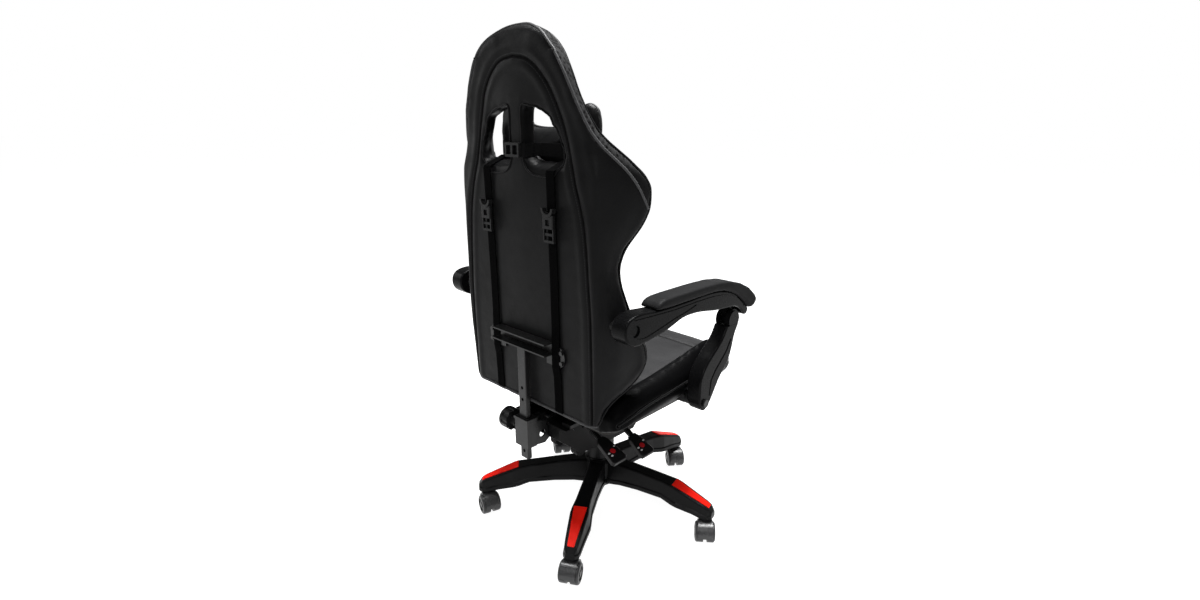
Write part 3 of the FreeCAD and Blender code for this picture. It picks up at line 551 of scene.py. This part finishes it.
def tube(name, path, radius, material, closed=False):
    """Round cord along a path, with rotation-minimising rings."""
    count = len(path)
    tangent = np.gradient(path, axis=0)
    if closed:
        tangent = np.roll(path, -1, 0) - np.roll(path, 1, 0)
    tangent /= np.linalg.norm(tangent, axis=1, keepdims=True)
    side = np.cross(tangent[0], (0.0, 0.0, 1.0))
    if np.linalg.norm(side) < 1e-3:
        side = np.cross(tangent[0], (1.0, 0.0, 0.0))
    rings, sides = [], CORD_SIDES
    for i in range(count):
        side = side - np.dot(side, tangent[i]) * tangent[i]
        side /= np.linalg.norm(side)
        other = np.cross(tangent[i], side)
        for k in range(sides):
            turn = 2 * math.pi * k / sides
            rings.append(path[i] + radius * (math.cos(turn) * side + math.sin(turn) * other))
    faces = []
    for i in range(count if closed else count - 1):
        j = (i + 1) % count
        for k in range(sides):
            m = (k + 1) % sides
            faces.append((i * sides + k, i * sides + m, j * sides + m, j * sides + k))
    if not closed:
        faces.append(tuple(range(sides))[::-1])
        faces.append(tuple((count - 1) * sides + k for k in range(sides)))
    obj = from_lists(name, rings, faces, material)
    store(obj, "seam", np.full(len(rings), FAR_FROM_SEAM))
    store(obj, "run", np.zeros(len(rings)))
    return obj


def both_sides(points):
    return [[(s * x, y, z) for x, y, z in points] for s in (-1, 1)]


def metres(points):
    return [tuple(mm(*p)) for p in points]


def pins_along(obj, paths, reach):
    samples = np.concatenate([smooth_path(p, 0.004) for p in paths])
    distance, _ = nearest(coords(obj), samples)
    return np.clip(1.15 - distance / reach, 0.0, 1.0)


# ------------------------------------------------------------------ backrest
PIPING = ((0, 220, 1193), (26, 222, 1190), (50, 229, 1185), (79, 239, 1174), (104, 245, 1157),
          (124, 248, 1135), (138, 246, 1114), (150, 243, 1089), (163, 241, 1060), (178, 236, 1029),
          (193, 226, 991), (204, 218, 972), (222, 198, 948), (238, 179, 927), (247, 166, 910),
          (252, 158, 893), (257, 146, 872), (258, 134, 850))
HOLE = ((21, 245, 1038), (50, 245, 1034), (81, 243, 1021), (100, 240, 985), (115, 237, 946),
        (108, 236, 912), (84, 238, 906), (40, 242, 911), (20, 243, 936), (20, 244, 990))
BAND_POINTS = 15        # so many of the rim's points run beside the mesh band
RIM = ((0, 208, 1193), (30, 207, 1189), (62, 202, 1178), (89, 202, 1160), (111, 204, 1133),
       (127, 208, 1112), (141, 211, 1088), (154, 210, 1058), (170, 206, 1028), (190, 196, 991),
       (209, 184, 970), (230, 165, 948), (247, 149, 927), (256, 137, 911), (261, 128, 890),
       (260, 127, 866), (254, 127, 842), (242, 132, 812), (229, 146, 786), (219, 157, 766),
       (211, 163, 733), (214, 160, 704), (226, 149, 652), (236, 130, 600), (240, 111, 562),
       (241, 105, 530), (240, 117, 505), (234, 150, 480), (222, 177, 462), (212, 200, 441),
       (205, 214, 408))
REAR_SEAM = ((0, 246, 1130), (34, 246, 1125), (60, 246, 1112), (84, 245, 1090), (102, 244, 1065),
             (117, 240, 1033), (130, 236, 1000), (140, 234, 966), (149, 233, 930), (160, 234, 893),
             (170, 234, 862), (180, 233, 820), (187, 232, 760), (191, 232, 701), (195, 231, 640),
             (196, 230, 560), (196, 229, 480), (196, 228, 408))
HEM = ((-204, 216, 407), (-197, 227, 405), (-150, 230, 405), (0, 230, 405), (150, 230, 405),
       (197, 227, 405), (204, 216, 407))
PIPING_RADIUS, HEM_RADIUS, SLOT_RADIUS = 0.0026, 0.0032, 0.0019
CROWN_FROM, CROWN_SINK = 1.085, 0.08        # above this height the crown is sunk by this part
RIDGE_ROUNDS, RIDGE_HALF, RIDGE_FADE = 60, 0.05, 0.02        # smoothing along the rear's middle
BAR_HALF, BAR_FADE, BAR_MIDDLE, BAR_REACH = 0.016, 0.008, 0.942, 0.085    # less on the bar
BAND_GROW, BAND_EDGE, BAND_LOW, BAND_FADE = 0.0045, 0.002, 0.886, 0.03    # the side's mesh band
REAR_FACING, REAR_HOLD = 0.6, 0.7
FRONT_SEAM = ((0, 200, 1080), (60, 196, 1068), (96, 190, 1040), (128, 178, 985), (150, 165, 940),
              (160, 150, 890), (158, 138, 820), (150, 136, 735), (152, 130, 640), (160, 122, 540),
              (166, 130, 470))


def samples_on(obj, line):
    """Both sides of a line in millimetres, dropped onto obj as one set of points."""
    halves = [smooth_path(metres(half), 0.003) for half in both_sides(line)]
    return onto(obj, np.concatenate(halves))


def make_backrest():
    back = voxels(copy_of("backrest_cushion", "backrest_cover"), BACK_VOXEL)
    relax(back, BACK_ROUNDS)
    points = coords(back)
    middle = np.clip((RIDGE_HALF - np.abs(points[:, 0])) / RIDGE_FADE, 0.0, 1.0)
    narrow = np.clip((BAR_HALF - np.abs(points[:, 0])) / BAR_FADE, 0.0, 1.0)
    beside_slots = np.abs(points[:, 2] - BAR_MIDDLE) < BAR_REACH
    faces_rear = normals(back)[:, 1] > 0.85
    soften(back, RIDGE_ROUNDS, np.where(beside_slots, narrow, middle) * faces_rear)
    points = coords(back)
    points[:, 2] -= CROWN_SINK * np.maximum(points[:, 2] - CROWN_FROM, 0.0)
    set_coords(back, points)
    lines = [metres(p) for line in (REAR_SEAM, RIM, PIPING, FRONT_SEAM) for p in both_sides(line)]
    lines = [onto(back, smooth_path(line, 0.012)) for line in lines]
    keep = pins_along(back, lines, BACK_HOLD)
    rear = normals(back)[:, 1] > REAR_FACING
    keep = np.where(rear, np.maximum(keep, REAR_HOLD), keep)
    puff(back, keep, BACK_CAP)
    subdivide(back)
    relax(back, 2)
    sew(back, [onto(back, line) for line in lines[:4] + lines[6:]])        # all but the piping's
    points = coords(back)
    rear_line, rim_line = samples_on(back, PIPING), samples_on(back, RIM[:BAND_POINTS])
    to_rear, at_rear = nearest(points, rear_line)
    to_rim, at_rim = nearest(points, rim_line)
    width = np.linalg.norm(rear_line[at_rear] - rim_line[at_rim], axis=1)
    band = np.clip((width + BAND_GROW - to_rear - to_rim) / BAND_EDGE, 0.0, 1.0)
    fade = np.clip((points[:, 2] - BAND_LOW) / BAND_FADE, 0.0, 1.0)
    store(back, "band", band * fade)
    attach(back, "backrest")
    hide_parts("backrest_cushion")
    for k, line in enumerate(both_sides(PIPING) + both_sides(RIM) + [HEM]):
        radius = HEM_RADIUS if line is HEM else PIPING_RADIUS
        # The rim's cords keep the plain leather; the others take the lighter copy, a painted
        # highlight.
        on_rim = k in (2, 3)
        finish = SLOTS["black_leather"] if on_rim else PIPING_PAINTED_HIGHLIGHT
        path = settled(back, smooth_path(metres(line), 0.004), 0.5 * radius)
        cord = tube("back_piping_%d" % k, path, radius, finish)
        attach(cord, "backrest")
    for k, line in enumerate(both_sides(HOLE)):
        path = onto(back, smooth_path(metres(line), 0.004, closed=True), 0.001)[:-1]
        cord = tube("slot_piping_%d" % k, path, SLOT_RADIUS, SLOTS["black_leather"], closed=True)
        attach(cord, "backrest")


# ---------------------------------------------------------------------- seat
SEAT_INNER = ((181, 176, 440), (184, 120, 449), (185, 60, 452), (184, 0, 454), (183, -60, 456),
              (183, -120, 458), (181, -170, 460), (174, -214, 460), (163, -250, 455),
              (147, -278, 440))
SEAT_SIDE = ((232, 184, 404), (240, 150, 418), (243, 100, 427), (243, 30, 433), (243, -40, 439),
             (243, -100, 445), (242, -155, 445), (236, -196, 439), (226, -232, 431),
             (211, -263, 423), (194, -285, 413), (172, -296, 407))
SEAT_FRONT = ((-178, -186, 461), (-90, -190, 461), (0, -192, 461), (90, -190, 461),
              (178, -186, 461))
# Where the lining, the sides (a darker copy of the leather, painted shade) and the middle top (a
# lighter copy, painted light) of the cover begin.
FACES_DOWN, SHADED_SIDE_FROM, FACES_UP = -0.55, 0.181, 0.45


def make_seat():
    seat = voxels(copy_of("seat_cushion", "seat_cover"), SEAT_VOXEL)
    relax(seat, SEAT_ROUNDS)
    lines = [metres(p) for line in (SEAT_INNER, SEAT_SIDE) for p in both_sides(line)]
    lines.append(metres(SEAT_FRONT))
    lines = [onto(seat, smooth_path(line, 0.012)) for line in lines]
    keep = pins_along(seat, lines, SEAT_HOLD)
    keep = np.where(normals(seat)[:, 2] < -0.5, 1.0, keep)
    puff(seat, keep, SEAT_CAP)
    subdivide(seat)
    relax(seat, 2)
    sew(seat, [onto(seat, line) for line in lines])
    store(seat, "band", np.zeros(len(seat.data.vertices)))
    # Painted light and shade: faces up get the lighter copy of the leather, the sides the darker
    # copy.
    for finish in (LINING, SEAT_SIDE_PAINTED_SHADE, SEAT_TOP_PAINTED_LIGHT):
        seat.data.materials.append(finish)
    for face in seat.data.polygons:
        if face.normal.z < FACES_DOWN:
            face.material_index = 1
        elif abs(face.center.x) > SHADED_SIDE_FROM:
            face.material_index = 2
        elif face.normal.z > FACES_UP:
            face.material_index = 3
    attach(seat, "seat")
    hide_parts("seat_cushion")
    for k in (2, 3):
        path = settled(seat, smooth_path(lines[k], 0.005), 0.0012)
        cord = tube("seat_piping_%d" % k, path, PIPING_RADIUS, SLOTS["black_leather"])
        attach(cord, "seat")


# ------------------------------------------------------------------- pillows
EAR_PULL, EAR_FROM, EAR_OVER = 0.009, 0.4, 0.35        # how the corners are drawn out
RIM_STEPS = 72
OFF_SEAM = 4.0        # how much a point away from the seam's plane counts against it


def make_pillow(node, name):
    """Puffed pillow with a piped seam round its middle plane."""
    pillow = voxels(copy_of(node, name), PILLOW_VOXEL)
    relax(pillow, PILLOW_ROUNDS)
    low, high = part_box(node)
    middle = (low + high) / 2
    seam_y = (low.y + high.y) / 2
    points = coords(pillow)
    across, up = points[:, 0] - middle.x, points[:, 2] - middle.z
    corner = np.abs(across * up) / ((high.x - middle.x) * (high.z - middle.z))
    pull = EAR_PULL * np.clip((corner - EAR_FROM) / EAR_OVER, 0.0, 1.0)
    points[:, 0] += pull * np.sign(across)
    points[:, 2] += pull * np.sign(up)
    set_coords(pillow, points)
    edge = []
    for step in range(RIM_STEPS):
        turn = 2 * math.pi * step / RIM_STEPS
        ray = np.array((math.cos(turn), math.sin(turn)))
        reach = (points[:, (0, 2)] - np.array((middle.x, middle.z))) @ ray
        far = points[np.argmax(reach - OFF_SEAM * np.abs(points[:, 1] - seam_y))]
        edge.append((far[0], seam_y, far[2]))
    rim = onto(pillow, smooth_path(edge, 0.006, closed=True))
    keep = pins_along(pillow, [rim], PILLOW_HOLD)
    puff(pillow, keep, PILLOW_CAP, 5.0)
    subdivide(pillow)
    sew(pillow, [onto(pillow, rim)], 0.002, 0.005, 0.0)
    store(pillow, "band", np.zeros(len(pillow.data.vertices)))
    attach(pillow, "backrest")
    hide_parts(node)
    path = settled(pillow, smooth_path(rim, 0.005), 0.001)
    # The piping takes the lighter copy of the leather, a painted highlight.
    cord = tube(name + "_piping", path, PIPING_RADIUS, PIPING_PAINTED_HIGHLIGHT)
    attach(cord, "backrest")


# ------------------------------------------------------- arm pads and webbing
def make_pad(side):
    pad = voxels(copy_of("arm_pad_" + side, "arm_pad_cover_" + side), PAD_VOXEL)
    relax(pad, PAD_ROUNDS)
    subdivide(pad)
    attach(pad, "arm_" + side)
    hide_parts("arm_pad_" + side)


def make_webbing(node, name, finish):
    strap = new_object(name, frame["nodes"][node].data.copy(), finish)
    mod = strap.modifiers.new("bevel", "BEVEL")
    mod.width = 0.0006
    mod.segments = 2
    mod.limit_method = "ANGLE"
    bake(strap)
    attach(strap, "backrest")
    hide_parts(node)


make_backrest()
make_seat()
make_pillow("head_pillow", "head_pillow_cover")
make_pillow("lumbar_pillow", "lumbar_pillow_cover")
for side in ("right", "left"):
    make_pad(side)
make_webbing("back_straps", "harness_webbing", SLOTS["webbing"])
make_webbing("head_band", "elastic_band", ELASTIC)


# --------------------------------------------------------------- lever marks
# Bend and tip of each lever's rod (x, y, z), and half the paddle's thickness.
LEVERS = {"recline_lever": ((-86, 118, 319), (-177, 118, 273)),
          "height_lever": ((-122, 48, 316), (-200, 48, 271))}
PADDLE_TOP = 6.25
MARK_POINTS, MARK_THICK = 20, 0.0006


def lever_mark(body, name, along, across, length, width, material):
    """Thin printed lozenge lying on a paddle, along and across its rod."""
    bend, tip = (np.array(p, float) for p in LEVERS[body])
    forward = (tip - bend) / np.linalg.norm(tip - bend)
    side = np.array((0.0, 1.0, 0.0))
    up = np.array((forward[2], 0.0, -forward[0]))
    up *= np.sign(up[2])
    centre = bend + along * forward + across * side + PADDLE_TOP * up
    rim = []
    for step in range(MARK_POINTS):
        turn = 2 * math.pi * step / MARK_POINTS
        point = centre + 0.5 * length * math.cos(turn) * forward
        rim.append(tuple(mm(*(point + 0.5 * width * math.sin(turn) * side))))
    low = [tuple(Vector(p) - Vector(up) * MARK_THICK) for p in rim]
    faces = [tuple(range(MARK_POINTS)), tuple(range(2 * MARK_POINTS - 1, MARK_POINTS - 1, -1))]
    for k in range(MARK_POINTS):
        after = (k + 1) % MARK_POINTS
        faces.append((k, k + MARK_POINTS, after + MARK_POINTS, after))
    mark = from_lists(name, rim + low, faces, material, smooth=False)
    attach(mark, body)


# How far along each rod the red mark lies; the white ones are placed from it.
RED_MARKS = (("recline_lever", 74), ("height_lever", 66))
WHITE_MARKS = ((-9, -13), (10, 11), (2, 14))
for body, reach in RED_MARKS:
    lever_mark(body, body + "_red_mark", reach, 0, 13, 15, RED_INK)
    for k, (along, across) in enumerate(WHITE_MARKS):
        lever_mark(body, "%s_white_mark_%d" % (body, k), reach + along, across, 4, 7, WHITE_INK)


# --------------------------------------------------------------------- stage
FLOOR_GLOW, AMBIENT = 0.97, 0.12
FLOOR_HALF = 40


def backdrop_paint():
    """Plain white paint that glows like a lit sweep."""
    n = Nodes("floor_paint", (0.25, 0.25, 0.25), 0.9, specular=0.0)
    n.tint(n.clouds(0.5, 1.0, 0.98, 1.0))
    n.bsdf.inputs["Emission Color"].default_value = (1.0, 1.0, 1.0, 1.0)
    n.bsdf.inputs["Emission Strength"].default_value = FLOOR_GLOW
    return n.material


corners = [(x * FLOOR_HALF, y * FLOOR_HALF, 0) for x, y in ((-1, -1), (1, -1), (1, 1), (-1, 1))]
floor = from_lists("floor", corners, [(0, 1, 2, 3)], backdrop_paint(), smooth=False)

world = bpy.data.worlds.new("studio")
scene.world = world
world.use_nodes = True
# The sky is white to the camera, but lights the chair only a little.
sky = world.node_tree.nodes["Background"]
seen = world.node_tree.nodes.new("ShaderNodeLightPath")
level = world.node_tree.nodes.new("ShaderNodeMapRange")
level.inputs["To Min"].default_value = AMBIENT
level.inputs["To Max"].default_value = 1.0
world.node_tree.links.new(seen.outputs["Is Camera Ray"], level.inputs["Value"])
world.node_tree.links.new(level.outputs[0], sky.inputs["Strength"])
sky.inputs["Color"].default_value = (1.0, 1.0, 1.0, 1.0)
scene.view_settings.view_transform = "Standard"


def area_light(name, place, target, size, power):
    data = bpy.data.lights.new(name, "AREA")
    data.shape = "RECTANGLE"
    data.size, data.size_y = size
    data.energy = power
    lamp = bpy.data.objects.new(name, data)
    scene.collection.objects.link(lamp)
    lamp.location = place
    lamp.rotation_euler = (Vector(target) - Vector(place)).to_track_quat("-Z", "Y").to_euler()


area_light("top", (0.1, -0.5, 3.6), (0, 0, 0.5), (2.0, 2.0), 520)
area_light("left_side", (2.9, 1.3, 1.7), (0, 0, 0.6), (1.0, 2.0), 20)
area_light("rear", (-1.6, 2.6, 3.2), (0, 0, 0.9), (0.6, 0.6), 45)

# -------------------------------------------------------------------- camera
AZIMUTH, ELEVATION, ROLL = 223.97, 16.29, -0.06
TARGET, DISTANCE = Vector((0.0, 0.0, 0.56123)), 1.51029
SENSOR, FOCAL_PART = 36.0, 621.3 / 1200.0        # focal length as a part of the sensor's width
FAR_CLIP = 200.0
a, e = math.radians(AZIMUTH), math.radians(ELEVATION)
outward = Vector((math.sin(a) * math.cos(e), -math.cos(a) * math.cos(e), math.sin(e)))
camera = bpy.data.objects.new("camera", bpy.data.cameras.new("camera"))
scene.collection.objects.link(camera)
camera.location = TARGET + outward * DISTANCE
camera.rotation_euler = (-outward).to_track_quat("-Z", "Y").to_euler()
camera.rotation_euler.rotate_axis("Z", math.radians(-ROLL))
camera.data.sensor_width = SENSOR
camera.data.lens = SENSOR * FOCAL_PART
camera.data.clip_end = FAR_CLIP
scene.camera = camera
